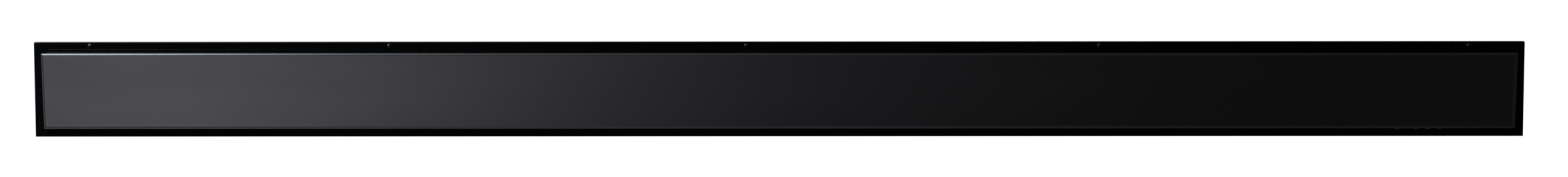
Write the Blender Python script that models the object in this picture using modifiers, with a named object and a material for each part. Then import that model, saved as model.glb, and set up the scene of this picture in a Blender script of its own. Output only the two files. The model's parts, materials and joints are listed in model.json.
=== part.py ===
"""Recessed linear electric fireplace.  X runs right as seen from the room, Y into the wall, Z up.

The origin is the middle of the surround, on the wall face.  Sizes below are in millimetres.
"""

import math

import bmesh
import bpy
from mathutils import Matrix, Vector

MM = 0.001
GAP = 0.3  # clearance between pieces that touch

# surround
FLANGE_W = 2540.0
FLANGE_H = 161.5
FLANGE_LIP = 12.0  # how far the front of the surround stands off the wall
FLANGE_T = 2.0
FLANGE_RETURN = 8.0
RIM_SIDE = 17.5
RIM_TOP = 19.6
RIM_BOTTOM = 15.2
SCREW_X = (-1174.7, -664.4, -56.0, 545.2, 1174.7)
SCREW_Z = 74.6

# raised front: the pane stands further out at the top than at the bottom
PROUD_TOP = 36.0
PROUD_BOTTOM = 20.0
PANE_T = 4.0
PANE_ROUND = (5.0, 3.0)  # width and depth of the rounding along the front edges of the pane
PANE_LIP = 4.4  # how far the pane stands above the bezel: the finger edge it is pulled by
PANE_STEP = 1.3  # how far it stops above the foot of the bezel
SHEET = 1.5
BEZEL_RETURN = 12.0
BEZEL_HALF = FLANGE_W / 2 - RIM_SIDE - GAP
BEZEL_Z0 = -FLANGE_H / 2 + RIM_BOTTOM + GAP
BEZEL_Z1 = FLANGE_H / 2 - RIM_TOP - GAP
PANE_Z0 = BEZEL_Z0 + PANE_STEP
PANE_Z1 = BEZEL_Z1 + PANE_LIP

# body in the wall
BODY_HALF = 1246.0
BODY_Z0 = -64.0
BODY_Z1 = 60.0
BODY_Y0 = -7.9
BODY_DEPTH = 105.0

# vents in the underside of the bezel
SLOT_Y = (-24.0, -14.5)
OUTLET_LENGTH = 660.0
INTAKE_LENGTH = 396.0
INTAKE_X = 620.0
GRILLE_Y = (-21.4, -17.1)
GRILLE_SLOT = 50.0
GRILLE_PITCH = 55.0
GRILLE_GAP = 3.0

# flame effect
TRAY_Z = -26.0
ROTOR_Y = 72.0
ROTOR_Z = -2.0
ROTOR_R = 13.0
SHAFT_R = 2.5

# heater
DUCT_HALF = 335.0
FAN_Y = 71.0
FAN_Z = -44.9
FAN_R = 15.0
FAN_HALF = 296.0
GUIDE_R = 16.5

# controls in the underside, at the right-hand end
CONTROL_Y = -19.3
ROCKER_X = 1058.0
ROCKER_PIVOT_Z = -62.6
ROCKER_TILT = 8.0
BUTTON_X = (1086.0, 1106.0, 1126.0)
BUTTON_R = 3.5

GLAND_Y = 80.0
GLAND_Z = -45.0

for old in list(bpy.data.objects):
    bpy.data.objects.remove(old)

model = bpy.data.collections.new("linear_fireplace")
bpy.context.scene.collection.children.link(model)
cutters = bpy.data.collections.new("cutters")
bpy.context.scene.collection.children.link(cutters)


def material(name, colour, rough, metal=0.0, alpha=1.0):
    m = bpy.data.materials.new(name)
    m.use_nodes = True
    p = m.node_tree.nodes["Principled BSDF"]
    p.inputs["Base Color"].default_value = (*colour, 1.0)
    p.inputs["Roughness"].default_value = rough
    p.inputs["Metallic"].default_value = metal
    p.inputs["Alpha"].default_value = alpha
    m.diffuse_color = (*colour, 1.0)
    return m


GLOSS = material("gloss_black", (0.006, 0.006, 0.007), 0.06)
SCREW = material("black_screw", (0.05, 0.05, 0.052), 0.18, 1.0)
SATIN = material("satin_black", (0.03, 0.03, 0.032), 0.35)
PANE = material("smoked_glass", (0.03, 0.03, 0.034), 0.3, 0.0, 0.97)
ZINC = material("zinc_sheet", (0.55, 0.56, 0.57), 0.38, 0.9)
BLACK = material("chamber_black", (0.02, 0.02, 0.02), 0.7)
STEEL = material("bright_steel", (0.6, 0.6, 0.61), 0.25, 1.0)
FOIL = material("reflector_foil", (0.85, 0.85, 0.86), 0.12, 1.0)
SCREEN = material("diffuser", (0.75, 0.76, 0.78), 0.45, 0.0, 0.5)
MEDIA = material("fire_glass", (0.55, 0.62, 0.66), 0.1, 0.0, 0.8)
BOARD = material("circuit_board", (0.02, 0.16, 0.06), 0.45)
STRIP = material("led_board", (0.85, 0.85, 0.83), 0.5)
PLASTIC = material("black_plastic", (0.025, 0.025, 0.026), 0.5)
ALLOY = material("cast_alloy", (0.5, 0.5, 0.52), 0.5, 0.9)
ELEMENT = material("heating_fins", (0.62, 0.6, 0.57), 0.4, 0.9)
MAGNET = material("magnet_plating", (0.45, 0.45, 0.46), 0.3, 1.0)
CREAM = material("ceramic_cream", (0.78, 0.74, 0.66), 0.6)


def finish_mesh(name, bm, mat, pivot=(0.0, 0.0, 0.0), home=None):
    """Turn a bmesh drawn in millimetres into a named object whose origin is at pivot."""
    bmesh.ops.recalc_face_normals(bm, faces=bm.faces)
    for v in bm.verts:
        v.co = [(v.co[i] - pivot[i]) * MM for i in range(3)]
    mesh = bpy.data.meshes.new(name)
    bm.to_mesh(mesh)
    bm.free()
    if mat is not None:
        mesh.materials.append(mat)
    ob = bpy.data.objects.new(name, mesh)
    ob.location = [c * MM for c in pivot]
    (home or model).objects.link(ob)
    return ob


def rings(name, loops, mat, closed=True, pivot=(0.0, 0.0, 0.0)):
    """Loft between unlike vertex loops; closed joins the last loop to the first."""
    bm = bmesh.new()
    rows = [[bm.verts.new(p) for p in loop] for loop in loops]
    n = len(rows[0])
    for a in range(len(rows) if closed else len(rows) - 1):
        one = rows[a]
        two = rows[(a + 1) % len(rows)]
        for k in range(n):
            bm.faces.new((one[k], one[(k + 1) % n], two[(k + 1) % n], two[k]))
    if not closed:
        bm.faces.new(rows[0])
        bm.faces.new(list(reversed(rows[-1])))
    return finish_mesh(name, bm, mat, pivot)


def add_cube(bm, x, y, z):
    """Add a box between two values on each axis."""
    spans = (x, y, z)
    place = Matrix.Translation([(low + high) / 2 for low, high in spans])
    size = Matrix.Diagonal([high - low for low, high in spans] + [1.0])
    bmesh.ops.create_cube(bm, size=1.0, matrix=place @ size)


def add_rod(bm, axis, span, centre, radius, sides):
    """Add a cylinder along an axis; centre lists the other two coordinates in XYZ order."""
    place = list(centre)
    place.insert(axis, (span[0] + span[1]) / 2)
    way = Vector([1.0 if k == axis else 0.0 for k in range(3)])
    turn = way.to_track_quat("Z", "Y").to_matrix().to_4x4()
    bmesh.ops.create_cone(
        bm,
        cap_ends=True,
        segments=sides,
        radius1=radius,
        radius2=radius,
        depth=span[1] - span[0],
        matrix=Matrix.Translation(place) @ turn,
    )


def box(name, x, y, z, mat, home=None):
    bm = bmesh.new()
    add_cube(bm, x, y, z)
    return finish_mesh(name, bm, mat, home=home)


def rod_x(name, x, centre, radius, mat, sides=32):
    bm = bmesh.new()
    add_rod(bm, 0, x, centre, radius, sides)
    return finish_mesh(name, bm, mat)


def extruded(name, outline, axis, span, mat, pivot=(0.0, 0.0, 0.0)):
    """Extrude a flat outline along an axis; its points list the other two coordinates in XYZ order."""
    bm = bmesh.new()
    corners = []
    for point in outline:
        place = list(point)
        place.insert(axis, span[0])
        corners.append(bm.verts.new(place))
    face = bm.faces.new(corners)
    made = bmesh.ops.extrude_face_region(bm, geom=[face])["geom"]
    way = [span[1] - span[0] if k == axis else 0.0 for k in range(3)]
    bmesh.ops.translate(bm, verts=[v for v in made if isinstance(v, bmesh.types.BMVert)], vec=way)
    return finish_mesh(name, bm, mat, pivot)


def turned(name, profile, axis, centre, mat, sides=24):
    """Revolve closed (along, radius) profile points about an axis through centre."""
    letter = "XYZ"[axis]
    bm = bmesh.new()
    points = []
    for along, radius in profile:
        place = [0.0, 0.0, 0.0]
        place[axis] = along
        place[(axis + 1) % 3] = radius
        points.append(bm.verts.new(place))
    for k in range(len(profile)):
        n = (k + 1) % len(profile)
        if profile[k][1] or profile[n][1]:
            bm.edges.new((points[k], points[n]))
    for v in bm.verts:
        v.co *= MM
    mesh = bpy.data.meshes.new(name)
    bm.to_mesh(mesh)
    bm.free()
    mesh.materials.append(mat)
    ob = bpy.data.objects.new(name, mesh)
    ob.location = [c * MM for c in centre]
    model.objects.link(ob)
    screw = ob.modifiers.new("turn", "SCREW")
    screw.axis = letter
    screw.steps = sides
    screw.render_steps = sides
    screw.use_merge_vertices = True
    screw.merge_threshold = 1e-6
    area = sum(a[0] * b[1] - b[0] * a[1] for a, b in zip(profile, profile[1:] + profile[:1]))
    screw.use_normal_flip = area < 0.0
    return ob


def front_y(z):
    """Front surface of the pane at height z."""
    up = (z - PANE_Z0) / (PANE_Z1 - PANE_Z0)
    return -(FLANGE_LIP + PROUD_BOTTOM + (PROUD_TOP - PROUD_BOTTOM) * up)


def slab(name, x, z, d, mat):
    """A plate that follows the lean of the pane, between two depths behind its front surface."""
    outline = [
        (front_y(z[0]) + d[0], z[0]),
        (front_y(z[0]) + d[1], z[0]),
        (front_y(z[1]) + d[1], z[1]),
        (front_y(z[1]) + d[0], z[1]),
    ]
    return extruded(name, outline, 0, x, mat)


def rect(half, z0, z1, y0, y1=None):
    """A rectangle seen from the front, y0 along its foot and y1 along its head."""
    y1 = y0 if y1 is None else y1
    return [(-half, y0, z0), (half, y0, z0), (half, y1, z1), (-half, y1, z1)]


def lean_rect(half, z0, z1, d):
    return rect(half, z0, z1, front_y(z0) + d, front_y(z1) + d)


def cut(ob, tool, operation="DIFFERENCE"):
    """Boolean one object with another, and put the second away with the cutters."""
    for c in list(tool.users_collection):
        c.objects.unlink(tool)
    cutters.objects.link(tool)
    tool.hide_render = True
    tool.display_type = "WIRE"
    m = ob.modifiers.new("cut", "BOOLEAN")
    m.operation = operation
    m.object = tool
    m.solver = "EXACT"
    return ob


def soften(ob, width, segments=2):
    m = ob.modifiers.new("edges", "BEVEL")
    m.width = width * MM
    m.segments = segments
    m.limit_method = "ANGLE"
    m.angle_limit = math.radians(40)
    m.use_clamp_overlap = True
    return ob


def row(prefix, middle, count, length, pitch, y, z):
    """A row of slot cutters joined in one mesh."""
    bm = bmesh.new()
    for k in range(count):
        x = middle + (k - (count - 1) / 2) * pitch
        add_cube(bm, (x - length / 2, x + length / 2), y, z)
    return finish_mesh(prefix, bm, None, home=cutters)


def posts(prefix, centres, radius, axis, span, sides=20):
    """Round cutters along an axis at the given centres, joined in one mesh."""
    bm = bmesh.new()
    for centre in centres:
        add_rod(bm, axis, span, centre, radius, sides)
    return finish_mesh(prefix, bm, None, home=cutters)


# ---- surround ----
half = FLANGE_W / 2
up = FLANGE_H / 2
flange = rings(
    "surround_flange",
    [
        rect(half, -up, up, -FLANGE_LIP),
        rect(half - RIM_SIDE, -up + RIM_BOTTOM, up - RIM_TOP, -FLANGE_LIP),
        rect(half - RIM_SIDE, -up + RIM_BOTTOM, up - RIM_TOP, -FLANGE_LIP + FLANGE_T),
        rect(half - FLANGE_T, -up + FLANGE_T, up - FLANGE_T, -FLANGE_LIP + FLANGE_T),
        rect(half - FLANGE_T, -up + FLANGE_T, up - FLANGE_T, -FLANGE_T),
        rect(
            half - FLANGE_T - FLANGE_RETURN,
            -up + FLANGE_T + FLANGE_RETURN,
            up - FLANGE_T - FLANGE_RETURN,
            -FLANGE_T,
        ),
        rect(
            half - FLANGE_T - FLANGE_RETURN,
            -up + FLANGE_T + FLANGE_RETURN,
            up - FLANGE_T - FLANGE_RETURN,
            0.0,
        ),
        rect(half, -up, up, 0.0),
    ],
    GLOSS,
)
soften(flange, 0.5)
cut(flange, posts("flange_holes", [(x, SCREW_Z) for x in SCREW_X], 2.4, 1, (-13.0, -9.0)))

screw_profile = [(2.5, 0.0), (2.5, 1.6), (2.0, 2.9), (1.2, 3.7), (0.0, 4.0), (0.0, 1.9), (-9.0, 1.9), (-9.0, 0.0)]
for n, x in enumerate(SCREW_X, 1):
    # heights are from the seat, outwards
    outline = [(-h, r) for h, r in screw_profile]
    turned("flange_screw_%d" % n, outline, 1, (x, -FLANGE_LIP - GAP, SCREW_Z), SCREW, 20)

# ---- raised front ----
front_d = PANE_T + GAP
bezel = rings(
    "front_bezel",
    [
        rect(1258.0, -71.0, 77.5, -9.7),
        rect(BEZEL_HALF, BEZEL_Z0, BEZEL_Z1, -9.7),
        lean_rect(BEZEL_HALF, BEZEL_Z0, BEZEL_Z1, front_d),
        lean_rect(BEZEL_HALF - BEZEL_RETURN, BEZEL_Z0 + BEZEL_RETURN, BEZEL_Z1 - BEZEL_RETURN, front_d),
        lean_rect(
            BEZEL_HALF - BEZEL_RETURN, BEZEL_Z0 + BEZEL_RETURN, BEZEL_Z1 - BEZEL_RETURN, front_d + SHEET
        ),
        lean_rect(BEZEL_HALF - SHEET, BEZEL_Z0 + SHEET, BEZEL_Z1 - SHEET, front_d + SHEET),
        rect(BEZEL_HALF - SHEET, BEZEL_Z0 + SHEET, BEZEL_Z1 - SHEET, -8.2),
        rect(1258.0, -71.0, 77.5, -8.2),
    ],
    SATIN,
)
soften(bezel, 0.4, 1)
slot_z = (BEZEL_Z0 - 2.0, BEZEL_Z0 + 3.0)
cut(bezel, row("outlet_slot", 0.0, 1, OUTLET_LENGTH, 1.0, SLOT_Y, slot_z))
cut(bezel, row("intake_slots", 0.0, 2, INTAKE_LENGTH, 2 * INTAKE_X, SLOT_Y, slot_z))
cut(bezel, posts("bezel_screw_holes", [(x, SCREW_Z) for x in SCREW_X], 2.4, 1, (-10.5, -7.5)))
cut(bezel, posts("button_holes", [(x, CONTROL_Y) for x in BUTTON_X], BUTTON_R + 0.4, 2, slot_z))
cut(bezel, row("rocker_hole", ROCKER_X, 1, 15.4, 15.4, (CONTROL_Y - 4.5, CONTROL_Y + 4.5), slot_z))

grille = box("air_grille", (-832.0, 832.0), (-25.6, -9.0), (-63.2, -62.2), SATIN)
for middle, count in ((-INTAKE_X, 7), (0.0, 12), (INTAKE_X, 7)):
    for y in GRILLE_Y:
        strip = (y - GRILLE_GAP / 2, y + GRILLE_GAP / 2)
        cut(grille, row("grille_gaps", middle, count, GRILLE_SLOT, GRILLE_PITCH, strip, (-66.0, -60.0)))

loops = []
for k in range(4):
    a = math.radians(30.0 * k)
    inset = PANE_ROUND[0] * (1.0 - math.sin(a))
    depth = PANE_ROUND[1] * (1.0 - math.cos(a))
    loops.append(lean_rect(BEZEL_HALF - inset, PANE_Z0 + inset, PANE_Z1 - inset, depth))
loops.append(lean_rect(BEZEL_HALF, PANE_Z0, PANE_Z1, PANE_T))
rings("front_glass", loops, PANE, False)
slab("glass_strike_top", (-1200.0, 1200.0), (38.5, 46.5), (front_d, front_d + 1.2), STEEL)
slab("glass_strike_bottom", (-1200.0, 1200.0), (-51.0, -43.0), (front_d, front_d + 1.2), STEEL)
for side, x in (("left", -900.0), ("right", 900.0)):
    for place, z in (("top", (36.0, 57.0)), ("bottom", (-61.5, -40.0))):
        ob = slab("magnet_%s_%s" % (place, side), (x - 30, x + 30), z, (6.1, 12.0), MAGNET)
        soften(ob, 0.8, 1)

# ---- body in the wall ----
z_in = (BODY_Z0 + SHEET + GAP, BODY_Z1 - SHEET - GAP)
box("top_cover", (-BODY_HALF, BODY_HALF), (BODY_Y0, BODY_DEPTH), (BODY_Z1 - SHEET, BODY_Z1), ZINC)
box("bottom_pan", (-BODY_HALF, BODY_HALF), (BODY_Y0, BODY_DEPTH), (BODY_Z0, BODY_Z0 + SHEET), ZINC)
box("back_panel", (-BODY_HALF, BODY_HALF), (BODY_DEPTH - SHEET, BODY_DEPTH), z_in, ZINC)
cap_x = (BODY_HALF + GAP, BODY_HALF + GAP + SHEET)
box("left_end_cap", (-cap_x[1], -cap_x[0]), (BODY_Y0, BODY_DEPTH), (BODY_Z0, BODY_Z1), ZINC)
cap = box("right_end_cap", cap_x, (BODY_Y0, BODY_DEPTH), (BODY_Z0, BODY_Z1), ZINC)
cut(cap, posts("gland_hole", [(GLAND_Y, GLAND_Z)], 8.4, 0, (cap_x[0] - 2, cap_x[1] + 2)))

for side, name in ((-1, "left"), (1, "right")):
    a = cap_x[1] + GAP
    outline = [
        (side * a, -1.8),
        (side * (a + 11.0), -1.8),
        (side * (a + 11.0), -0.3),
        (side * (a + SHEET), -0.3),
        (side * (a + SHEET), 40.0),
        (side * a, 40.0),
    ]
    bracket = extruded("wall_bracket_" + name, outline, 2, (-28.0, 28.0), ZINC)
    holes = posts("bracket_holes_" + name, [(side * (a + 6.4), -18.0), (side * (a + 6.4), 18.0)], 2.6, 1, (-3, 1))
    cut(bracket, holes)

gland_profile = [
    (1240.0, 4.2),
    (1240.0, 8.0),
    (cap_x[1] + GAP, 8.0),
    (cap_x[1] + GAP, 11.0),
    (1252.5, 11.0),
    (1252.5, 9.0),
    (1256.0, 8.0),
    (1257.5, 6.0),
    (1257.5, 4.2),
]
turned("cable_gland", gland_profile, 0, (0.0, GLAND_Y, GLAND_Z), PLASTIC)
junction = box("junction_box", (1150.0, 1239.7), (55.0, 101.0), (z_in[0], -30.0), PLASTIC)
cut(junction, box("junction_inside", (1151.5, 1238.2), (56.5, 99.5), (-70.0, -31.5), None))
cut(junction, posts("junction_hole", [(GLAND_Y, GLAND_Z)], 5.0, 0, (1236.0, 1242.0)))

# ---- flame chamber ----
tray = [
    (-24.0, TRAY_Z),
    (30.0, TRAY_Z),
    (30.0, TRAY_Z + 9.0),
    (29.0, TRAY_Z + 9.0),
    (29.0, TRAY_Z + 1.0),
    (-23.0, TRAY_Z + 1.0),
    (-23.0, TRAY_Z + 7.0),
    (-24.0, TRAY_Z + 7.0),
]
extruded("ember_tray", tray, 0, (-1225.0, 1225.0), BLACK)


def lump(i, j):
    s = math.sin(i * 12.9898 + j * 78.233) * 43758.5453
    return s - math.floor(s)


def ember_bed():
    """A lumpy bed with a flat foot: a grid, raised at random, then extruded down to the tray."""
    nx = 100
    ny = 5
    foot = TRAY_Z + 1.3
    bm = bmesh.new()
    size = Matrix.Diagonal((1221.0, 24.5, 1.0, 1.0))
    bmesh.ops.create_grid(
        bm, x_segments=nx, y_segments=ny, size=1.0, matrix=Matrix.Translation((0.0, 3.0, foot)) @ size
    )
    top = list(bm.verts)
    for n, v in enumerate(top):
        v.co.z += 2.2 if v.is_boundary else 5.0 + 7.0 * lump(n % 13, n // 13)
    made = bmesh.ops.extrude_face_region(bm, geom=list(bm.faces))["geom"]
    for v in made:
        if isinstance(v, bmesh.types.BMVert):
            v.co.z = foot
    finish_mesh("ember_bed", bm, MEDIA)


ember_bed()
box("flame_screen", (-1225.0, 1225.0), (31.0, 33.0), (TRAY_Z, 56.5), SCREEN)
box("back_reflector", (-1222.0, 1222.0), (101.7, 102.7), (-20.0, 56.5), BLACK)
for side, name in ((-1, "left"), (1, "right")):
    x = sorted((side * 1225.5, side * 1226.7))
    box("chamber_side_" + name, x, (-20.0, 101.0), (TRAY_Z, 56.5), BLACK)
box("ember_led_strip", (-1200.0, 1200.0), (0.0, 10.0), (57.0, 58.2), STRIP)
box("flame_led_strip", (-1200.0, 1200.0), (66.0, 78.0), (57.0, 58.2), STRIP)


def star(radius, turn):
    """Three thin blades on a shaft, as twelve points."""
    points = []
    for k in range(3):
        base = turn + math.tau * k / 3
        for a, r in ((-1.05, SHAFT_R), (-0.07, radius), (0.07, radius), (1.05, SHAFT_R)):
            points.append((ROTOR_Y + r * math.cos(base + a), ROTOR_Z + r * math.sin(base + a)))
    return points


def flame_rotor(name, side):
    stations = [(0.5, SHAFT_R, 0.0), (10.0, SHAFT_R, 0.0)]
    steps = 40
    for k in range(steps + 1):
        stations.append((10.2 + 1129.0 * k / steps, ROTOR_R, math.radians(30.0 * k)))
    last = stations[-1]
    stations += [(last[0] + 0.2, SHAFT_R, last[2]), (1150.0, SHAFT_R, last[2])]
    loops = [[(side * x, p[0], p[1]) for p in star(r, a)] for x, r, a in stations]
    rings(name, loops, FOIL, False, (0.0, ROTOR_Y, ROTOR_Z))


for side, name in ((-1, "left"), (1, "right")):
    flame_rotor("flame_rotor_" + name, side)
    x = sorted((side * 1150.3, side * 1166.0))
    soften(rod_x("rotor_motor_" + name, x, (ROTOR_Y, ROTOR_Z), 21.0, ALLOY, 36), 1.0, 1)
    x = sorted((side * 1166.3, side * 1167.8))
    box("rotor_bracket_" + name, x, (48.0, 101.4), (-24.0, 22.0), ZINC)
bearing = box("rotor_centre_bearing", (-5.0, 5.0), (64.0, 101.4), (-10.0, 6.0), PLASTIC)
cut(bearing, posts("bearing_bore", [(ROTOR_Y, ROTOR_Z)], 3.0, 0, (-8.0, 8.0)))

# ---- heater ----
nozzle = box("outlet_nozzle", (-DUCT_HALF, DUCT_HALF), (-25.3, 3.7), (-61.9, -28.0), ZINC)
inside = box("nozzle_inside", (-DUCT_HALF + 1, DUCT_HALF - 1), (-24.3, 10.0), (-70.0, -29.0), None)
cut(nozzle, inside)
tube = []
for h, z0, z1, y in (
    (DUCT_HALF, z_in[0], -28.0, 4.0),
    (DUCT_HALF - 1, z_in[0] + 1, -29.0, 4.0),
    (DUCT_HALF - 1, z_in[0] + 1, -29.0, 50.0),
    (DUCT_HALF, z_in[0], -28.0, 50.0),
):
    tube.append(rect(h, z0, z1, y))
rings("heater_duct", tube, ZINC)

fins = 48
pitch = 648.0 / fins
comb = [(-324.0, -60.8)]
for k in range(fins):
    x = -324.0 + k * pitch
    comb += [(x + 0.25 * pitch, -60.8), (x + 0.25 * pitch, -34.0), (x + 0.75 * pitch, -34.0)]
    comb += [(x + 0.75 * pitch, -60.8)]
comb += [(324.0, -60.8), (324.0, -29.4), (-324.0, -29.4)]
rings("heater_element", [[(p[0], y, p[1]) for p in comb] for y in (18.0, 34.0)], ELEMENT, False)


def guide(name, start, stop, lip):
    """A curved sheet beside the impeller, with a straight lip towards the duct."""
    steps = 10
    outer = []
    inner = []
    for k in range(steps + 1):
        a = math.radians(start + (stop - start) * k / steps)
        outer.append((FAN_Y + (GUIDE_R + 0.8) * math.cos(a), FAN_Z + (GUIDE_R + 0.8) * math.sin(a)))
        inner.append((FAN_Y + GUIDE_R * math.cos(a), FAN_Z + GUIDE_R * math.sin(a)))
    end_out = outer[-1]
    end_in = inner[-1]
    outline = outer + [(50.3, end_out[1]), (50.3, end_in[1])] if lip else outer
    outline = outline + list(reversed(inner))
    extruded(name, outline, 0, (-300.0, 300.0), ZINC)


guide("blower_upper_guide", 35.0, 90.0, True)
guide("blower_lower_guide", -30.0, -90.0, True)


def impeller():
    blades = 18
    loops = []
    for x, r0, r1 in (
        (-306.0, SHAFT_R, SHAFT_R),
        (-FAN_HALF, SHAFT_R, SHAFT_R),
        (-FAN_HALF, FAN_R, FAN_R),
        (-FAN_HALF + 2, FAN_R, FAN_R),
        (-FAN_HALF + 2, 9.0, FAN_R),
        (-1.0, 9.0, FAN_R),
        (-1.0, FAN_R, FAN_R),
        (1.0, FAN_R, FAN_R),
        (1.0, 9.0, FAN_R),
        (FAN_HALF - 2, 9.0, FAN_R),
        (FAN_HALF - 2, FAN_R, FAN_R),
        (FAN_HALF, FAN_R, FAN_R),
        (FAN_HALF, SHAFT_R, SHAFT_R),
        (306.0, SHAFT_R, SHAFT_R),
    ):
        loop = []
        for k in range(blades):
            base = math.tau * k / blades
            step = math.tau / blades
            for f, r in ((0.0, r0), (0.62, r0), (0.68, r1), (0.94, r1)):
                a = base + f * step
                loop.append((x, FAN_Y + r * math.cos(a), FAN_Z + r * math.sin(a)))
        loops.append(loop)
    # unequal radii only where the blades run between two discs
    rings("blower_impeller", loops, PLASTIC, False, (0.0, FAN_Y, FAN_Z))


impeller()
for side, name in ((-1, "left"), (1, "right")):
    x = sorted((side * 300.3, side * 301.8))
    end = box("blower_end_" + name, x, (50.5, 92.0), (z_in[0], -27.6), ZINC)
    cut(end, posts("blower_end_bore_" + name, [(FAN_Y, FAN_Z)], 3.4, 0, (x[0] - 2, x[1] + 2)))
soften(rod_x("blower_motor", (306.3, 348.0), (FAN_Y, FAN_Z), 16.5, ALLOY, 32), 1.5, 2)
soften(rod_x("blower_bearing", (-312.0, -306.3), (FAN_Y, FAN_Z), 8.0, PLASTIC, 24), 0.8, 1)
soften(rod_x("thermal_cutout", (DUCT_HALF + GAP, DUCT_HALF + 7.0), (28.0, -45.0), 8.0, CREAM, 24), 0.8, 1)

# ---- electrics ----
board = box("control_board", (-640.0, -470.0), (20.0, 90.0), (-56.0, -54.4), BOARD)
for dx in (-630.0, -480.0):
    for dy in (28.0, 82.0):
        foot = box("standoff", (dx - 3, dx + 3), (dy - 3, dy + 3), (z_in[0], -55.0), None, home=cutters)
        cut(board, foot, "UNION")
for x, y, top in (((-625, -590), (35, 70), -34.0), ((-570, -540), (30, 50), -42.0), ((-520, -495), (50, 78), -40.0)):
    cut(board, box("relay", x, y, (-55.0, top), None, home=cutters), "UNION")
driver = box("led_driver", (480.0, 600.0), (55.0, 95.0), (z_in[0], -36.0), ALLOY)
soften(driver, 1.5, 1)
terminal = box("terminal_block", (900.0, 948.0), (60.0, 82.0), (z_in[0], -46.0), CREAM)
cut(terminal, row("terminal_wells", 924.0, 4, 7.0, 11.0, (56.0, 71.0), (-52.0, -44.0)))

pod = box("control_pod", (1040.0, 1142.0), (-25.3, -13.6), (-63.2, -46.0), PLASTIC)
soften(pod, 0.8, 1)
cut(pod, box("pod_pocket", (1045.0, 1137.0), (-24.4, -14.2), (-66.0, -60.6), None))


def swung(points, angle):
    a = math.radians(angle)
    out = []
    for x, z in points:
        out.append((x * math.cos(a) + z * math.sin(a), -x * math.sin(a) + z * math.cos(a)))
    return out


profile = swung([(-6.5, 0.6), (6.5, 0.6), (6.5, -4.6), (0.0, -3.7), (-6.5, -4.6)], -ROCKER_TILT)
outline = [(ROCKER_X + p[0], ROCKER_PIVOT_Z + p[1]) for p in profile]
pivot = (ROCKER_X, CONTROL_Y, ROCKER_PIVOT_Z)
extruded("power_rocker", outline, 1, (CONTROL_Y - 4.0, CONTROL_Y + 4.0), PLASTIC, pivot)

# heights are from the collar that stops the button
button_profile = [(0.6, 0.0), (0.6, 4.4), (0.0, 4.4), (0.0, BUTTON_R), (-3.3, BUTTON_R)]
button_profile += [(-3.8, BUTTON_R - 0.5), (-3.8, 0.0)]
for name, x in zip(("button_light", "button_flame", "button_heat"), BUTTON_X):
    turned(name, button_profile, 2, (x, CONTROL_Y, -63.2), PLASTIC)

slab("ir_receiver", (1180.0, 1192.0), (-60.5, -48.0), (6.1, 12.0), PLASTIC)
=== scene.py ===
"""Looks for the recessed linear electric fireplace: finishes, fine detail, stage, lights and camera.

Drawing helpers take millimetres in the part's frame: X right, Y into the wall, Z up.
"""

import json
import math
import random

import bmesh
import bpy
from mathutils import Matrix, Vector

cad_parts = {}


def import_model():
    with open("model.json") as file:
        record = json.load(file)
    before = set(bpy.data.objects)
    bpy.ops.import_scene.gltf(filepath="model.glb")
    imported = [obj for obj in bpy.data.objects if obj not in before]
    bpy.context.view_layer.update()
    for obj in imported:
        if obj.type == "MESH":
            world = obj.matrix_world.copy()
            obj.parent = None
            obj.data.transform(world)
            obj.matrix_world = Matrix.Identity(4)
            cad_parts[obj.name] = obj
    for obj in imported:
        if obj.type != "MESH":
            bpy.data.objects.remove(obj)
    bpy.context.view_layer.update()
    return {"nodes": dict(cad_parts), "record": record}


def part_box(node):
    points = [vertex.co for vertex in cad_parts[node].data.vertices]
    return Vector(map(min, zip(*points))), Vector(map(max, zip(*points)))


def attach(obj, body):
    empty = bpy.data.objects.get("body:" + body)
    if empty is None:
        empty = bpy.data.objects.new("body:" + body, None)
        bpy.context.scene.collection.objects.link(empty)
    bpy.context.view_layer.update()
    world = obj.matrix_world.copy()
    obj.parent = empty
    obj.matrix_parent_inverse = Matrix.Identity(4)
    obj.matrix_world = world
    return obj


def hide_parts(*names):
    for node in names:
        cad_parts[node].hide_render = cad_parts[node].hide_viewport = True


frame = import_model()

MM = 0.001
GAP = 0.3
ROOT = "housing"

# the CAD sizes that the detail follows, in millimetres
FLANGE_FRONT = -12.0
FRONT_HALF = 1252.2
FRONT_Z0 = -63.95
FRONT_Z1 = 65.25
BEZEL_FOOT = -65.25
FOOT_Y = -32.0
HEAD_Y = -48.0
PANE_T = 4.0
PANE_ROUND = (5.0, 3.0)
BODY_HALF = 1246.0
BODY_Z0 = -64.0
BODY_Z1 = 60.0
BODY_BACK = 105.0
END_X = 1247.8
TRAY_TOP = -25.0
SCREW_Z = 74.6
BACK_SEAT = BODY_BACK + 0.02
TOP_SEAT = BODY_Z1 + 0.02

# controls in the underside, and the light strips
CONTROL_Y = -19.3
ROCKER_X = 1058.0
ROCKER_Z = -62.6
ROCKER_Y = (-23.3, -15.3)
BUTTON_X = (1086.0, 1106.0, 1126.0)
INDICATOR_X = 1140.0
LED_X = [-1187.5 + 25.0 * k for k in range(96)]
LED_Y = (5.0, 72.0)


# ---------------------------------------------------------------- materials
def nodes_of(name, colour, rough, metal=0.0, alpha=1.0):
    m = bpy.data.materials.new(name)
    m.use_nodes = True
    tree = m.node_tree
    p = tree.nodes["Principled BSDF"]
    p.inputs["Base Color"].default_value = (*colour, 1.0)
    p.inputs["Roughness"].default_value = rough
    p.inputs["Metallic"].default_value = metal
    p.inputs["Alpha"].default_value = alpha
    m.diffuse_color = (*colour, 1.0)
    return m, tree, p


def position(tree, stretch=(1.0, 1.0, 1.0)):
    """Object coordinates in metres, scaled by stretch."""
    at = tree.nodes.new("ShaderNodeTexCoord")
    scale = tree.nodes.new("ShaderNodeMapping")
    scale.inputs["Scale"].default_value = stretch
    tree.links.new(at.outputs["Object"], scale.inputs["Vector"])
    return scale.outputs["Vector"]


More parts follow.
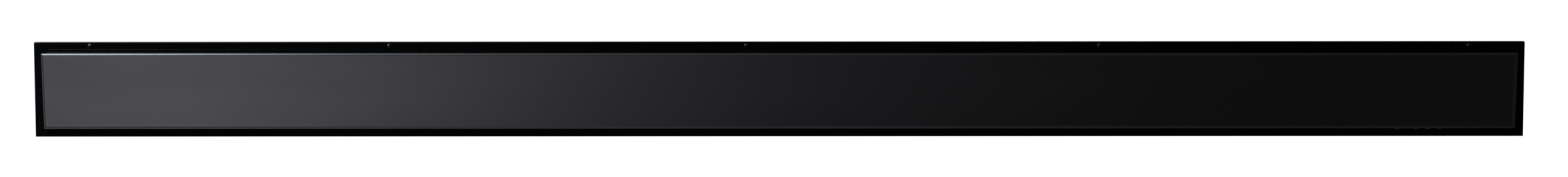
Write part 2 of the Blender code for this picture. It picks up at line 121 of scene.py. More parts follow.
def noise(tree, scale, detail=3.0, stretch=(1.0, 1.0, 1.0), rough=0.55):
    n = tree.nodes.new("ShaderNodeTexNoise")
    n.inputs["Scale"].default_value = scale
    n.inputs["Detail"].default_value = detail
    n.inputs["Roughness"].default_value = rough
    tree.links.new(position(tree, stretch), n.inputs["Vector"])
    return n.outputs["Fac"]


def cells(tree, scale, feature="F1"):
    n = tree.nodes.new("ShaderNodeTexVoronoi")
    n.feature = feature
    n.inputs["Scale"].default_value = scale
    tree.links.new(position(tree), n.inputs["Vector"])
    return n


def remap(tree, value, low, high, start=0.0, stop=1.0):
    r = tree.nodes.new("ShaderNodeMapRange")
    r.inputs["From Min"].default_value = low
    r.inputs["From Max"].default_value = high
    r.inputs["To Min"].default_value = start
    r.inputs["To Max"].default_value = stop
    tree.links.new(value, r.inputs["Value"])
    return r.outputs["Result"]


def combined(tree, operation, one, two):
    m = tree.nodes.new("ShaderNodeMath")
    m.operation = operation
    tree.links.new(one, m.inputs[0])
    tree.links.new(two, m.inputs[1])
    return m.outputs["Value"]


def mixed(tree, factor, one, two):
    """A shader that is one where the factor is 0 and two where it is 1."""
    mix = tree.nodes.new("ShaderNodeMixShader")
    tree.links.new(factor, mix.inputs["Fac"])
    tree.links.new(one, mix.inputs[1])
    tree.links.new(two, mix.inputs[2])
    return mix.outputs["Shader"]


def between(tree, value, dark, light):
    """Two colours mixed by a value from 0 to 1."""
    mix = tree.nodes.new("ShaderNodeMix")
    mix.data_type = "RGBA"
    mix.inputs["A"].default_value = (*dark, 1.0)
    mix.inputs["B"].default_value = (*light, 1.0)
    tree.links.new(value, mix.inputs["Factor"])
    return mix.outputs["Result"]


def bump(tree, shader, height, depth, strength=1.0):
    b = tree.nodes.new("ShaderNodeBump")
    b.inputs["Strength"].default_value = strength
    b.inputs["Distance"].default_value = depth
    tree.links.new(height, b.inputs["Height"])
    tree.links.new(b.outputs["Normal"], shader.inputs["Normal"])


def gloss_enamel():
    m, t, p = nodes_of("gloss_black_enamel", (0.0012, 0.0012, 0.0013), 0.07)
    smear = noise(t, 5.0, 4.0, (1.0, 4.0, 9.0))
    t.links.new(remap(t, smear, 0.35, 0.75, 0.03, 0.08), p.inputs["Roughness"])
    bump(t, p, noise(t, 260.0, 1.5), 0.00003, 0.35)
    return m


def satin_coat():
    """Fine-textured powder coat."""
    m, t, p = nodes_of("satin_powder_coat", (0.012, 0.012, 0.0125), 0.42)
    grain = noise(t, 1400.0, 2.0)
    tone = between(t, remap(t, grain, 0.3, 0.7), (0.009, 0.009, 0.0095), (0.015, 0.015, 0.016))
    t.links.new(tone, p.inputs["Base Color"])
    t.links.new(remap(t, noise(t, 30.0), 0.3, 0.7, 0.38, 0.46), p.inputs["Roughness"])
    bump(t, p, grain, 0.00006, 0.5)
    return m


def smoked_pane():
    """Satin-etched smoked glass: a black body under a fine matt skin."""
    m, t, p = nodes_of("smoked_satin_glass", (0.003, 0.003, 0.0032), 0.45, 0.0, 0.97)
    p.inputs["IOR"].default_value = 1.5
    cloud = noise(t, 3.0, 5.0, (1.0, 3.0, 6.0))
    t.links.new(remap(t, cloud, 0.3, 0.7, 0.42, 0.45), p.inputs["Roughness"])
    bump(t, p, noise(t, 2600.0, 1.0), 0.00001, 0.4)
    return m


def ground_edge():
    m, t, p = nodes_of("ground_glass_edge", (0.01, 0.0105, 0.011), 0.36)
    grind = noise(t, 60.0, 2.0, (40.0, 1.0, 1.0))
    t.links.new(between(t, grind, (0.008, 0.0084, 0.009), (0.012, 0.0126, 0.0135)), p.inputs["Base Color"])
    bump(t, p, grind, 0.00003, 0.4)
    return m


def zinc(name="spangled_zinc", colour=(0.43, 0.44, 0.45)):
    """Hot-dip zinc with faint spangle and rolling lines."""
    m, t, p = nodes_of(name, colour, 0.38, 0.95)
    spangle = cells(t, 160.0)
    dark = tuple(c * 0.82 for c in colour)
    light = tuple(min(1.0, c * 1.12) for c in colour)
    t.links.new(between(t, spangle.outputs["Distance"], dark, light), p.inputs["Base Color"])
    t.links.new(remap(t, noise(t, 24.0, 3.0, (1.0, 8.0, 8.0)), 0.3, 0.7, 0.46, 0.6), p.inputs["Roughness"])
    bump(t, p, noise(t, 90.0, 3.0, (0.2, 6.0, 6.0)), 0.00004, 0.4)
    return m


def metal(name, colour, rough, stretch=(1.0, 12.0, 12.0), depth=0.00003):
    m, t, p = nodes_of(name, colour, rough, 1.0)
    line = noise(t, 160.0, 3.0, stretch)
    t.links.new(remap(t, line, 0.3, 0.7, rough * 0.8, rough * 1.25), p.inputs["Roughness"])
    bump(t, p, line, depth, 0.4)
    return m


def moulded(name, colour, rough=0.5, depth=0.00005):
    """Plastic with a spark-eroded texture."""
    m, t, p = nodes_of(name, colour, rough)
    grain = noise(t, 1100.0, 2.0)
    light = tuple(c * 1.3 for c in colour)
    t.links.new(between(t, remap(t, grain, 0.35, 0.65), colour, light), p.inputs["Base Color"])
    bump(t, p, grain, depth, 0.5)
    return m


def matt_black():
    m, t, p = nodes_of("stove_black", (0.016, 0.016, 0.016), 0.75)
    grain = noise(t, 700.0, 3.0)
    t.links.new(between(t, grain, (0.01, 0.01, 0.01), (0.024, 0.024, 0.023)), p.inputs["Base Color"])
    bump(t, p, grain, 0.00008, 0.5)
    return m


def frosted_screen():
    m, t, p = nodes_of("frosted_screen", (0.66, 0.67, 0.7), 0.5, 0.0, 0.62)
    wave = noise(t, 14.0, 4.0, (1.0, 1.0, 0.25))
    t.links.new(between(t, wave, (0.5, 0.5, 0.53), (0.78, 0.79, 0.8)), p.inputs["Base Color"])
    bump(t, p, noise(t, 900.0, 2.0), 0.00006, 0.5)
    return m


def fire_glass():
    m, t, p = nodes_of("tumbled_fire_glass", (0.62, 0.7, 0.74), 0.08, 0.0, 0.85)
    p.inputs["IOR"].default_value = 1.5
    p.inputs["Transmission Weight"].default_value = 0.55
    lumps = cells(t, 70.0).outputs["Distance"]
    t.links.new(between(t, lumps, (0.5, 0.6, 0.66), (0.82, 0.88, 0.9)), p.inputs["Base Color"])
    t.links.new(remap(t, noise(t, 120.0), 0.3, 0.7, 0.04, 0.2), p.inputs["Roughness"])
    return m


def solder_board():
    m, t, p = nodes_of("solder_mask", (0.012, 0.11, 0.045), 0.35)
    track = cells(t, 420.0, "DISTANCE_TO_EDGE")
    lane = remap(t, track.outputs["Distance"], 0.02, 0.06)
    t.links.new(between(t, lane, (0.03, 0.2, 0.08), (0.01, 0.09, 0.035)), p.inputs["Base Color"])
    bump(t, p, lane, 0.00004, 0.4)
    return m


def cast_metal():
    m, t, p = nodes_of("cast_alloy_skin", (0.42, 0.42, 0.43), 0.5, 0.9)
    grain = noise(t, 380.0, 4.0)
    t.links.new(remap(t, grain, 0.3, 0.7, 0.42, 0.62), p.inputs["Roughness"])
    bump(t, p, grain, 0.0001, 0.5)
    return m


GLOSS = gloss_enamel()
SATIN = satin_coat()
PANE = smoked_pane()
EDGE = ground_edge()
ZINC = zinc()
SCREW = metal("black_screw_plating", (0.03, 0.03, 0.032), 0.45, (1.0, 1.0, 1.0), 0.00001)
STEEL = metal("bright_strip", (0.6, 0.6, 0.61), 0.26)
FOIL = metal("mirror_foil", (0.86, 0.86, 0.87), 0.12, (3.0, 1.0, 1.0), 0.00012)
PLATED = metal("nickel_plating", (0.6, 0.59, 0.57), 0.22, (1.0, 1.0, 1.0))
ZINC_SCREW = metal("zinc_screw_plating", (0.66, 0.66, 0.63), 0.28, (1.0, 1.0, 1.0), 0.00001)
FINS = metal("fin_stock", (0.66, 0.64, 0.6), 0.34, (1.0, 1.0, 14.0))
BLACK = matt_black()
PLASTIC = moulded("black_moulding", (0.02, 0.02, 0.021))
KEY = moulded("key_moulding", (0.028, 0.028, 0.03), 0.38, 0.00002)
CREAM = moulded("cream_ceramic", (0.68, 0.63, 0.54), 0.45, 0.00003)
RUBBER = moulded("seal_rubber", (0.012, 0.012, 0.012), 0.7, 0.00006)
WHITE = moulded("white_marking", (0.7, 0.7, 0.7), 0.5, 0.00001)
SCREEN = frosted_screen()
MEDIA = fire_glass()
BOARD = solder_board()
STRIP = moulded("strip_board", (0.72, 0.72, 0.7), 0.45, 0.00002)
ALLOY = cast_metal()
LED = moulded("led_lens", (0.78, 0.62, 0.22), 0.25, 0.00001)

FINISH = {
    "gloss_black": GLOSS,
    "black_screw": SCREW,
    "satin_black": SATIN,
    "smoked_glass": PANE,
    "zinc_sheet": ZINC,
    "chamber_black": BLACK,
    "bright_steel": STEEL,
    "reflector_foil": FOIL,
    "diffuser": SCREEN,
    "fire_glass": MEDIA,
    "circuit_board": BOARD,
    "led_board": STRIP,
    "black_plastic": PLASTIC,
    "cast_alloy": ALLOY,
    "heating_fins": FINS,
    "magnet_plating": PLATED,
    "ceramic_cream": CREAM,
}
for row in frame["record"]["subparts"]:
    slots = frame["nodes"][row["node"]].material_slots
    for s in slots:
        s.material = FINISH[row["material_slot"]]


# ---------------------------------------------------------------- drawing
def piece(name, bm, mats, body=ROOT, replaces=(), smooth=35.0):
    """Make a named piece from a bmesh in millimetres, riding on a body."""
    bmesh.ops.recalc_face_normals(bm, faces=bm.faces)
    for v in bm.verts:
        v.co *= MM
    mesh = bpy.data.meshes.new(name)
    bm.to_mesh(mesh)
    bm.free()
    for m in mats if isinstance(mats, (list, tuple)) else [mats]:
        mesh.materials.append(m)
    ob = bpy.data.objects.new(name, mesh)
    bpy.context.scene.collection.objects.link(ob)
    if smooth:
        for f in mesh.polygons:
            f.use_smooth = True
        mesh.set_sharp_from_angle(angle=math.radians(smooth))
    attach(ob, body)
    if replaces:
        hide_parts(*replaces)


def skin(bm, loops, closed=False, mat=0):
    """Join loops of points with quads; open runs are capped."""
    rows = [[bm.verts.new(p) for p in loop] for loop in loops]
    n = len(rows[0])
    faces = []
    for a in range(len(rows) if closed else len(rows) - 1):
        one = rows[a]
        two = rows[(a + 1) % len(rows)]
        for k in range(n):
            faces.append(bm.faces.new((one[k], one[(k + 1) % n], two[(k + 1) % n], two[k])))
    if not closed:
        faces.append(bm.faces.new(rows[0]))
        faces.append(bm.faces.new(list(reversed(rows[-1]))))
    for f in faces:
        f.material_index = mat
    return faces


def block(bm, x, y, z, round_by):
    """A box with all its edges rounded."""
    made = bmesh.ops.create_cube(bm, size=1.0)["verts"]
    for v in made:
        v.co = Vector(
            (
                (x[0] + x[1]) / 2 + v.co.x * (x[1] - x[0]),
                (y[0] + y[1]) / 2 + v.co.y * (y[1] - y[0]),
                (z[0] + z[1]) / 2 + v.co.z * (z[1] - z[0]),
            )
        )
    edges = list({e for v in made for e in v.link_edges})
    bmesh.ops.bevel(bm, geom=edges, offset=round_by, segments=2, profile=0.5, affect="EDGES")


AXES = {
    "+X": Matrix(((0, 0, 1), (0, 1, 0), (-1, 0, 0))),
    "-X": Matrix(((0, 0, -1), (0, 1, 0), (1, 0, 0))),
    "+Y": Matrix(((1, 0, 0), (0, 0, 1), (0, -1, 0))),
    "-Y": Matrix(((1, 0, 0), (0, 0, -1), (0, 1, 0))),
    "+Z": Matrix.Identity(3),
    "-Z": Matrix(((1, 0, 0), (0, -1, 0), (0, 0, -1))),
}


def lathe(bm, at, way, profile, sides=24, closed=False, turn=0.0):
    """Revolve (radius, height) points about an axis that points one way from a place."""
    loops = []
    for r, h in profile:
        loop = []
        for k in range(sides):
            a = turn + math.tau * k / sides
            loop.append(Vector(at) + AXES[way] @ Vector((r * math.cos(a), r * math.sin(a), h)))
        loops.append(loop)
    skin(bm, loops, closed)


def cross_head(bm, at, way, radius, height, turn):
    """A pan screw head with a sunk cross."""
    sides = 32
    place = Vector(at)
    spin = AXES[way]
    rim = 0.55
    sunk = height * 0.45

    def dome(share):
        return height * math.sqrt(max(0.0, 1.0 - (share * 0.96) ** 2))

    def put(x, y, h):
        c, s = math.cos(turn), math.sin(turn)
        return bm.verts.new(place + spin @ Vector((x * c - y * s, x * s + y * c, h)))

    rows = []
    for share, h in [(1.0, 0.0)] + [(r, dome(r)) for r in (0.99, 0.93, 0.82, 0.68, rim)]:
        loop = []
        for k in range(sides):
            a = math.tau * k / sides
            loop.append(put(radius * share * math.cos(a), radius * share * math.sin(a), h))
        rows.append(loop)
    for outer, inner in zip(rows, rows[1:]):
        for k in range(sides):
            n = (k + 1) % sides
            bm.faces.new((outer[k], outer[n], inner[n], inner[k]))
    bm.faces.new(list(reversed(rows[0])))
    # the outline of the cross, once on the dome and once sunk
    wide = radius * 0.13
    arm = radius * 0.5
    cross = []
    for quarter in range(4):
        a = -quarter * math.pi / 2
        for x, y in ((wide, wide), (arm, wide), (arm, -wide)):
            cross.append((x * math.cos(a) - y * math.sin(a), x * math.sin(a) + y * math.cos(a)))
    lip = [put(x, y, max(dome(rim), dome(math.hypot(x, y) / radius))) for x, y in cross]
    foot = [put(x * 0.8, y * 0.8, sunk) for x, y in cross]
    n = len(cross)
    for k in range(n):
        bm.faces.new((lip[k], lip[(k + 1) % n], foot[(k + 1) % n], foot[k]))
    bm.faces.new(foot)
    edges = [bm.edges.get((rows[-1][k], rows[-1][(k + 1) % sides])) for k in range(sides)]
    edges += [bm.edges.get((lip[k], lip[(k + 1) % n])) for k in range(n)]
    bmesh.ops.triangle_fill(bm, edges=edges, use_beauty=True)


def front_y(z):
    """How far out the leaning front is at a height."""
    return FOOT_Y + (HEAD_Y - FOOT_Y) * (z - FRONT_Z0) / (FRONT_Z1 - FRONT_Z0)


# ---------------------------------------------------------------- raised front
def pane():
    """The pane with rounded corners, its front edges ground to a round and its rear edges chamfered."""
    corner = 1.0
    steps = 3
    round_steps = 10
    chamfer = 0.3
    width, depth_in = PANE_ROUND

    def outline(inset, depth):
        half = FRONT_HALF - inset
        z0 = FRONT_Z0 + inset
        z1 = FRONT_Z1 - inset
        r = max(0.2, corner - inset)
        loop = []
        for cx, cz, start in (
            (half - r, z1 - r, 0.0),
            (-half + r, z1 - r, 90.0),
            (-half + r, z0 + r, 180.0),
            (half - r, z0 + r, 270.0),
        ):
            for k in range(steps + 1):
                a = math.radians(start + 90.0 * k / steps)
                x = cx + r * math.cos(a)
                z = cz + r * math.sin(a)
                loop.append((x, front_y(z) + depth, z))
        return loop

    bm = bmesh.new()
    loops = []
    for k in range(round_steps + 1):
        a = math.radians(90.0 * k / round_steps)
        loops.append(outline(width * (1.0 - math.sin(a)), depth_in * (1.0 - math.cos(a))))
    loops.append(outline(0.0, PANE_T - chamfer))
    loops.append(outline(chamfer, PANE_T))
    faces = skin(bm, loops, False, 1)
    faces[-2].material_index = 0
    faces[-1].material_index = 0
    piece("pane", bm, [PANE, EDGE], "front_glass", ["front_glass"], 30.0)


pane()


def frit():
    """Printed black border on the inside of the pane, as a thin skin."""
    bm = bmesh.new()

    def rect(half, z0, z1, d):
        return [
            (-half, front_y(z0) + d, z0),
            (half, front_y(z0) + d, z0),
            (half, front_y(z1) + d, z1),
            (-half, front_y(z1) + d, z1),
        ]

    outer = (FRONT_HALF - 1.5, FRONT_Z0 + 1.5, FRONT_Z1 - 1.5)
    inner = (FRONT_HALF - 24.0, FRONT_Z0 + 24.0, FRONT_Z1 - 24.0)
    face = PANE_T + 0.03
    back = PANE_T + 0.15
    skin(bm, [rect(*outer, face), rect(*inner, face), rect(*inner, back), rect(*outer, back)], True)
    piece("pane_border", bm, BLACK, "front_glass", smooth=0)


frit()


def flange_screws():
    for n in range(1, 6):
        low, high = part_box("flange_screw_%d" % n)
        at = ((low[0] + high[0]) / 2 / MM, FLANGE_FRONT - 0.02, SCREW_Z)
        bm = bmesh.new()
        cross_head(bm, at, "-Y", 3.9, 2.7, 0.3 + 0.9 * n)
        lathe(bm, at, "+Y", [(1.9, 0.05), (1.9, 8.0), (1.3, 8.7)], 16)
        piece("screw_%d" % n, bm, SCREW, ROOT, ["flange_screw_%d" % n], 40.0)


flange_screws()


# ---------------------------------------------------------------- controls under the raised front
def controls():
    for key in ("button_light", "button_flame", "button_heat"):
        low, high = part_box(key)
        x = (low[0] + high[0]) / 2 / MM
        y = (low[1] + high[1]) / 2 / MM
        foot = low[2] / MM
        bm = bmesh.new()
        lathe(
            bm,
            (x, y, foot),
            "+Z",
            [(0.6, 0.55), (1.6, 0.45), (2.4, 0.12), (2.75, 0.0), (3.15, 0.1), (3.42, 0.4), (3.5, 0.8)]
            + [(3.5, 3.8), (4.35, 3.8), (4.35, 4.4)],
            32,
        )
        piece(key + "_cap", bm, KEY, key, [key], 40.0)


controls()


def rocker():
    """The rocker with a soft edge and a moulded mark at each end."""
    front, back = ROCKER_Y
    middle = (front + back) / 2
    half = 6.5
    tilt = math.radians(-8.0)

    def swing(x, z):
        across = ROCKER_X + x * math.cos(tilt) + z * math.sin(tilt)
        return across, ROCKER_Z - x * math.sin(tilt) + z * math.cos(tilt)

    def on_face(x, y, level):
        """A point on the curved face of the key, sunk or raised by level."""
        z = -3.7 - 0.9 * (abs(x) / 6.1) ** 1.15
        sx, sz = swing(x, z + level)
        return (sx, middle + y, sz)

    bm = bmesh.new()
    outline = [(-half, 0.6), (half, 0.6), (half, -4.2), (6.1, -4.6), (3.2, -3.95)]
    outline += [(0.0, -3.7), (-3.2, -3.95), (-6.1, -4.6), (-half, -4.2)]
    loops = []
    for depth, shrink in (
        (front, 0.4),
        (front + 0.15, 0.12),
        (front + 0.45, 0.0),
        (back - 0.45, 0.0),
        (back - 0.15, 0.12),
        (back, 0.4),
    ):
        loop = []
        for px, pz in outline:
            sx, sz = swing(px * (1 - shrink / half), pz + (shrink if pz < 0 else -shrink))
            loop.append((sx, depth, sz))
        loops.append(loop)
    skin(bm, loops, False, 0)

    # marks: a bar at one end, a ring at the other
    mark_x = 4.4
    bar = [(-0.28, -1.6), (0.28, -1.6), (0.28, 1.6), (-0.28, 1.6)]
    skin(bm, [[on_face(mx - mark_x, my, level) for mx, my in bar] for level in (-0.14, 0.1)], False, 1)
    turns = [math.tau * k / 20 for k in range(20)]
    ring = []
    for r, level in ((1.5, -0.14), (1.5, 0.1), (1.0, 0.1), (1.0, -0.14)):
        ring.append([on_face(mark_x + r * math.cos(a), r * math.sin(a), level) for a in turns])
    skin(bm, ring, True, 1)
    piece("rocker_key", bm, [KEY, WHITE], "power_rocker", ["power_rocker"], 30.0)


rocker()


def collars():
    """A thin bezel round the rocker, a collar round each button, and the indicator."""
    bm = bmesh.new()
    under = BEZEL_FOOT - 0.05
    loops = []
    for grow, h in ((1.3, 0.0), (1.1, -0.55), (0.5, -0.7), (-0.1, -0.55), (-0.1, 0.0)):
        x0, x1 = ROCKER_X - 7.7 - grow, ROCKER_X + 7.7 + grow
        y0, y1 = ROCKER_Y[0] - 0.5 - grow * 0.5, ROCKER_Y[1] + 0.5 + grow * 0.5
        z = under + h
        loops.append([(x0, y0, z), (x1, y0, z), (x1, y1, z), (x0, y1, z)])
    skin(bm, loops, True)
    collar = [(5.0, 0.0), (4.8, 0.45), (4.35, 0.6), (3.95, 0.45), (3.9, 0.0)]
    for x in BUTTON_X:
        lathe(bm, (x, CONTROL_Y, under), "-Z", collar, 32, True)
    at = (INDICATOR_X, CONTROL_Y, under)
    lathe(bm, at, "-Z", [(1.9, 0.0), (1.7, 0.5), (1.2, 0.7), (1.2, 0.0)], 24, True)
    piece("control_collars", bm, PLASTIC, ROOT, smooth=40.0)
    bm = bmesh.new()
    lathe(bm, at, "-Z", [(1.15, 0.0), (1.1, 0.6), (0.7, 0.95), (0.2, 1.05)], 20)
    piece("indicator_lens", bm, LED, ROOT, smooth=50.0)


collars()


# ---------------------------------------------------------------- fire bed and light strips
def crystals():
    """Loose tumbled glass heaped on the tray."""
    rng = random.Random(11)
    bm = bmesh.new()
    count = 1500
    for i in range(count):
        x = -1216.0 + 2432.0 * (i + rng.random()) / count
        y = rng.uniform(-17.5, 24.0)
        size = rng.uniform(2.6, 5.6)
        heap = 3.2 + 3.0 * math.sin(x * 0.021) * math.sin(x * 0.0083 + 1.0)
        middle = 1.0 - abs((y - 3.2) / 22.0) ** 2
        z = TRAY_TOP + size * 0.55 + rng.uniform(0.0, 1.0) * heap * middle + 0.4
        made = bmesh.ops.create_icosphere(bm, subdivisions=1, radius=size)["verts"]
        turn = Matrix.Rotation(rng.uniform(0, math.tau), 3, "X")
        turn = turn @ Matrix.Rotation(rng.uniform(0, math.tau), 3, "Z")
        stretch = (rng.uniform(0.75, 1.25), rng.uniform(0.6, 1.0), rng.uniform(0.55, 0.85))
        for v in made:
            c = Vector((v.co.x * stretch[0], v.co.y * stretch[1], v.co.z * stretch[2]))
            c *= rng.uniform(0.86, 1.1)
            c = turn @ c
            v.co = Vector((x, y, z)) + c
            v.co.z = max(v.co.z, TRAY_TOP + 0.15)
            v.co.y = min(max(v.co.y, -22.6), 28.6)
            v.co.x = min(max(v.co.x, -1224.0), 1224.0)
    piece("fire_glass_bed", bm, MEDIA, ROOT, ["ember_bed"], smooth=0)


crystals()


def leds():
    bm = bmesh.new()
    for x in LED_X:
        for y in LED_Y:
            block(bm, (x - 1.75, x + 1.75), (y - 1.4, y + 1.4), (56.05, 56.98), 0.15)
    piece("led_packages", bm, STRIP, ROOT, smooth=0)
    bm = bmesh.new()
    for x in LED_X:
        for y in LED_Y:
            lathe(bm, (x, y, 56.04), "-Z", [(1.15, 0.0), (0.95, 0.16), (0.45, 0.25)], 10)
    piece("led_lenses", bm, LED, ROOT, smooth=50.0)


leds()


# ---------------------------------------------------------------- the case behind the wall
def case_screws():
    bm = bmesh.new()
    places = []
    for k in range(11):
        x = -1200.0 + 240.0 * k
        places.append(((x, BODY_BACK + 1.22, 52.0), "+Y"))
        places.append(((x, BODY_BACK + 1.22, -56.0), "+Y"))
        places.append(((x, 8.0, TOP_SEAT), "+Z"))
    for side, way in ((-1, "-X"), (1, "+X")):
        for y, z in ((6.0, 50.0), (52.0, 50.0), (96.0, 50.0), (6.0, -55.0), (46.0, -55.0), (96.0, -55.0)):
            places.append(((side * (END_X + 0.02), y, z), way))
    for n, (at, way) in enumerate(places):
        cross_head(bm, at, way, 3.6, 2.2, 0.7 * n)
    piece("case_screws", bm, ZINC_SCREW, ROOT, smooth=40.0)


case_screws()


def hems():
    """Folded edges of the top and bottom covers over the back sheet."""
    bm = bmesh.new()
    sheet = 1.2
    for z0, z1 in ((45.0, BODY_Z1 - GAP), (BODY_Z0 + GAP, -49.0)):
        block(bm, (-BODY_HALF + 1, BODY_HALF - 1), (BACK_SEAT, BACK_SEAT + sheet), (z0, z1), 0.4)
    piece("cover_hems", bm, ZINC, ROOT, smooth=40.0)


hems()


def bead(bm, cx, half, at, way, width, height):
    """A long low dome with rounded ends, lying along X on the back or the top."""
    across = 6
    along = 9
    grid = []
    for i in range(2 * along + 1):
        u = (i - along) / along
        ends = math.sin(min(1.0, (1.0 - abs(u)) * 6.0 + 0.02) * math.pi / 2)
        x = cx + half * math.copysign(abs(u) ** 0.6, u)
        row = []
        for j in range(across + 1):
            a = math.pi * j / across
            w = -math.cos(a) * width * ends
            h = math.sin(a) * height * ends
            if way == "+Y":
                row.append(bm.verts.new((x, at[0] + h, at[1] + w)))
            else:
                row.append(bm.verts.new((x, at[1] + w, at[0] + h)))
        grid.append(row)
    for i in range(2 * along):
        for j in range(across):
            bm.faces.new((grid[i][j], grid[i + 1][j], grid[i + 1][j + 1], grid[i][j + 1]))
        bm.faces.new((grid[i][0], grid[i][across], grid[i + 1][across], grid[i + 1][0]))
    bm.faces.new(grid[0])
    bm.faces.new(list(reversed(grid[-1])))


def beads():
    """Stiffening beads pressed in the back and the top, clear of the louvres between them."""
    bm = bmesh.new()
    for cx in (-1000.0, -500.0, 0.0, 500.0, 1000.0):
        for z in (-26.0, 0.0, 26.0):
            bead(bm, cx, 180.0, (BACK_SEAT, z), "+Y", 4.5, 1.8)
    for cx in (-1000.0, -600.0, -200.0, 200.0, 600.0, 1000.0):
        for y in (68.0, 90.0):
            bead(bm, cx, 135.0, (TOP_SEAT, y), "+Z", 4.5, 1.6)
    piece("pressed_beads", bm, ZINC, ROOT, smooth=60.0)


beads()


def louvre(bm, cx, cy, length, way):
    """One pressed louvre: a quarter-round hood, open on its long side."""
    steps = 6
    width = 7.0
    height = 3.2
    loops = []
    for i in range(9):
        u = -1.0 + 2.0 * i / 8
        fall = math.sqrt(max(0.0, 1.0 - abs(u) ** 6))
        x = cx + u * length / 2
        outer = []
        inner = []
        for k in range(steps + 1):
            a = math.radians(90.0 * k / steps)
            outer.append((x, width * math.cos(a), max(0.05, height * math.sin(a) * fall)))
        for k in range(steps, -1, -1):
            a = math.radians(90.0 * k / steps)
            inner.append((x, (width - 1.0) * math.cos(a), max(0.02, (height - 0.9) * math.sin(a) * fall)))
        loop = []
        for px, py, ph in outer + inner:
            if way == "+Z":
                loop.append((px, cy + py, BODY_Z1 + ph))
            else:
                loop.append((px, BODY_BACK + ph, cy + py))
        loops.append(loop)
    skin(bm, loops)


def louvres():
    bm = bmesh.new()
    for cx in (-790.0, -750.0, -710.0, 710.0, 750.0, 790.0):
        for n in range(5):
            louvre(bm, cx, -34.0 + 14.0 * n, 32.0, "+Y")
    for cx in (-440.0, -400.0, -360.0, 360.0, 400.0, 440.0):
        for n in range(3):
            louvre(bm, cx, 26.0 + 14.0 * n, 32.0, "+Z")
    piece("pressed_louvres", bm, ZINC, ROOT, smooth=50.0)


louvres()


def ends():
    """Half-sheared knock-outs and a stiffening frame on each end cap."""
    bm = bmesh.new()
    for side, way in ((-1, "-X"), (1, "+X")):
        x = side * (END_X + 0.01)
        for y, z in ((58.0, -45.0), (34.0, -45.0)):
            lathe(bm, (x, y, z), way, [(8.0, 0.0), (7.7, 0.5), (0.8, 0.5)], 32)
            lathe(bm, (x, y, z), way, [(8.9, 0.0), (8.8, 0.25), (8.4, 0.25), (8.3, 0.0)], 32, True)
        rim = []
        for inset, lift in ((9.0, 0.0), (10.2, 1.0), (12.8, 1.0), (14.0, 0.0)):
            loop = []
            for cy, cz, start in (
                (100.0 - inset, 44.0 - inset / 3, 0.0),
                (48.0 + inset, 44.0 - inset / 3, 90.0),
                (48.0 + inset, -26.0 + inset / 3, 180.0),
                (100.0 - inset, -26.0 + inset / 3, 270.0),
            ):
                for k in range(5):
                    a = math.radians(start + 22.5 * k)
                    loop.append((x + side * lift, cy + 4.0 * math.cos(a), cz + 4.0 * math.sin(a)))
            rim.append(loop)
        skin(bm, rim, True)
    piece("end_pressings", bm, ZINC, ROOT, smooth=50.0)

    # the gland: hexagon, dome nut with grips, and its seal
    bm = bmesh.new()
    at = (END_X + GAP, 80.0, -45.0)
    lathe(bm, at, "+X", [(8.0, -7.8), (8.0, 0.0), (4.3, 0.0), (4.3, -7.8)], 32, True)
    hexagon = [(10.2, 0.0), (11.0, 0.5), (11.0, 3.6), (10.2, 4.1), (4.6, 4.1), (4.6, 0.0)]
    lathe(bm, at, "+X", hexagon, 6, True, 0.3)
    grips = []
    for r, h in ((9.0, 4.2), (9.3, 4.6), (9.3, 6.6), (8.0, 8.2), (6.4, 9.2), (5.0, 9.2), (5.0, 4.2)):
        loop = []
        for k in range(48):
            a = math.tau * k / 48
            grip = 0.3 if (k % 4) < 2 and r > 8.5 else 0.0
            p = Vector(at) + AXES["+X"] @ Vector(((r - grip) * math.cos(a), (r - grip) * math.sin(a), h))
            loop.append(p)
        grips.append(loop)
    skin(bm, grips, True)
    piece("gland_nut", bm, PLASTIC, ROOT, ["cable_gland"], 40.0)
    bm = bmesh.new()
    lathe(bm, at, "+X", [(4.95, 5.0), (4.95, 9.5), (4.3, 9.7), (4.2, 5.0)], 32, True)
    piece("gland_seal", bm, RUBBER, ROOT, smooth=40.0)


ends()


# ---------------------------------------------------------------- stage
FLOOR_Z = -1.6
FLOOR_LIFT = 1.0
FLOOR_DARK = 0.005
WORLD_SEEN = 1.05
WORLD_LIGHT = 0.12


def stage():
    bm = bmesh.new()
    bmesh.ops.create_grid(bm, x_segments=2, y_segments=2, size=200.0)
    mesh = bpy.data.meshes.new("floor")
    bm.to_mesh(mesh)
    bm.free()
    floor = bpy.data.objects.new("floor", mesh)
    floor.location = (0.0, 0.0, FLOOR_Z)
    bpy.context.scene.collection.objects.link(floor)
    m, t, p = nodes_of("studio_floor", (0.86, 0.86, 0.86), 0.9)
    p.inputs["Specular IOR Level"].default_value = 0.0
    # lifted to white where the camera sees it; in reflections, dark in front and pale behind
    lift = t.nodes.new("ShaderNodeEmission")
    lift.inputs["Strength"].default_value = FLOOR_LIFT
    flag = t.nodes.new("ShaderNodeEmission")
    split = t.nodes.new("ShaderNodeSeparateXYZ")
    t.links.new(position(t), split.inputs["Vector"])
    close = remap(t, split.outputs["Y"], -2.3, -1.0, 0.0, 1.0)
    side = remap(t, split.outputs["X"], -1.2, 0.9, 0.42, 0.02)
    back = remap(t, split.outputs["Y"], 0.2, 1.2, FLOOR_DARK, 0.3)
    glow = combined(t, "ADD", combined(t, "MULTIPLY", close, side), back)
    t.links.new(glow, flag.inputs["Strength"])
    path = t.nodes.new("ShaderNodeLightPath")
    add = t.nodes.new("ShaderNodeAddShader")
    t.links.new(p.outputs["BSDF"], add.inputs[0])
    t.links.new(lift.outputs["Emission"], add.inputs[1])
    seen = mixed(t, path.outputs["Is Camera Ray"], p.outputs["BSDF"], add.outputs["Shader"])
    whole = mixed(t, path.outputs["Is Glossy Ray"], seen, flag.outputs["Emission"])
    t.links.new(whole, t.nodes["Material Output"].inputs["Surface"])
    mesh.materials.append(m)


stage()


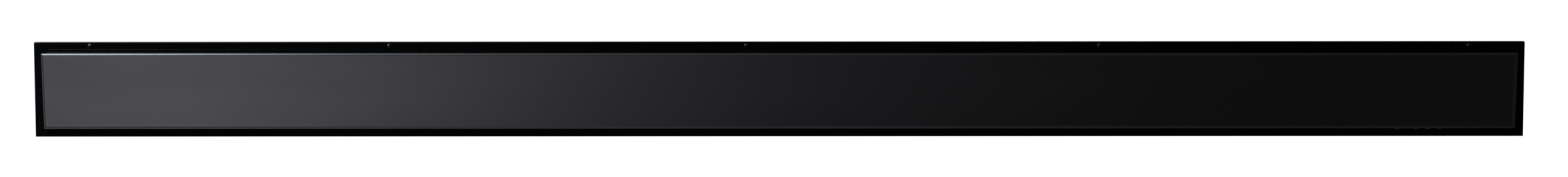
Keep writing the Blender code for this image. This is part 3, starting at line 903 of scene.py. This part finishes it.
def world():
    w = bpy.data.worlds.new("studio")
    bpy.context.scene.world = w
    w.use_nodes = True
    t = w.node_tree
    t.nodes.clear()
    out = t.nodes.new("ShaderNodeOutputWorld")
    path = t.nodes.new("ShaderNodeLightPath")
    plain = t.nodes.new("ShaderNodeBackground")
    plain.inputs["Color"].default_value = (1.0, 1.0, 1.0, 1.0)
    plain.inputs["Strength"].default_value = WORLD_SEEN
    ambient = t.nodes.new("ShaderNodeBackground")
    ambient.inputs["Color"].default_value = (0.96, 0.98, 1.0, 1.0)
    ambient.inputs["Strength"].default_value = WORLD_LIGHT
    room = t.nodes.new("ShaderNodeBackground")
    at = t.nodes.new("ShaderNodeTexCoord")
    split = t.nodes.new("ShaderNodeSeparateXYZ")
    t.links.new(at.outputs["Generated"], split.inputs["Vector"])
    # in reflections: a pale ceiling, a pale wall behind on the left, and dark in front
    # the ceiling is dark in a strip that runs away from the camera, so the right-hand edges stay black
    near = remap(t, split.outputs["X"], -0.16, 0.0, 0.0, 0.97)
    far = remap(t, split.outputs["X"], 0.25, 0.5, 1.0, 0.0)
    strip = t.nodes.new("ShaderNodeMath")
    strip.operation = "SUBTRACT"
    strip.inputs[0].default_value = 1.0
    t.links.new(combined(t, "MULTIPLY", near, far), strip.inputs[1])
    above = remap(t, split.outputs["Z"], 0.2, 0.6, 0.0, 0.6)
    ceiling = combined(t, "MULTIPLY", above, strip.outputs["Value"])
    left = remap(t, split.outputs["X"], -0.2, -0.06, 1.0, 0.01)
    behind = remap(t, split.outputs["Y"], 0.5, 0.9, 0.0, 0.7)
    wall = combined(t, "MULTIPLY", combined(t, "MULTIPLY", left, left), behind)
    t.links.new(combined(t, "ADD", ceiling, wall), room.inputs["Strength"])
    lit = mixed(t, path.outputs["Is Glossy Ray"], ambient.outputs["Background"], room.outputs["Background"])
    whole = mixed(t, path.outputs["Is Camera Ray"], lit, plain.outputs["Background"])
    t.links.new(whole, out.inputs["Surface"])


world()


def softbox(name, at, target, size, power, colour):
    light = bpy.data.lights.new(name, "AREA")
    light.shape = "RECTANGLE"
    light.size, light.size_y = size
    light.energy = power
    light.color = colour
    ob = bpy.data.objects.new(name, light)
    ob.location = at
    ob.rotation_mode = "QUATERNION"
    ob.rotation_quaternion = (Vector(target) - Vector(at)).to_track_quat("-Z", "Y")
    ob.visible_camera = False
    bpy.context.scene.collection.objects.link(ob)


softbox("low_left", (-1.5, -2.6, -1.08), (-1.1, 0.0, 0.0), (0.9, 0.5), 18.8, (0.955, 0.955, 1.05))
softbox("low_right", (2.3, -2.6, -1.08), (1.5, 0.0, 0.0), (0.3, 0.5), 0.8, (1.0, 0.97, 1.0))
softbox("over_left", (-1.75, -0.62, 1.42), (-1.65, 0.0, 0.0), (0.6, 2.95), 145.0, (0.9, 0.98, 1.06))


def camera():
    """A long lens, a little above the object and square to its front."""
    height, distance, offset = 0.858, 7.229, 0.011
    pitch, yaw, roll = math.radians(6.769), math.radians(-0.0236), math.radians(-0.032)
    data = bpy.data.cameras.new("camera")
    data.sensor_width = 36.0
    data.lens = 97.83
    data.clip_start = 0.1
    data.clip_end = 200.0
    ob = bpy.data.objects.new("camera", data)
    ahead = Vector((math.sin(yaw) * math.cos(pitch), math.cos(yaw) * math.cos(pitch), -math.sin(pitch)))
    right = Vector((math.cos(yaw), -math.sin(yaw), 0.0))
    up = right.cross(ahead)
    right2 = math.cos(roll) * right + math.sin(roll) * up
    up2 = -math.sin(roll) * right + math.cos(roll) * up
    turn = Matrix((right2, up2, -ahead)).transposed()
    ob.matrix_world = Matrix.Translation((offset, -distance, height)) @ turn.to_4x4()
    bpy.context.scene.collection.objects.link(ob)
    bpy.context.scene.camera = ob


camera()
view = bpy.context.scene.view_settings
view.view_transform = "Standard"
view.look = "None"
view.exposure = 0.0
view.gamma = 1.0
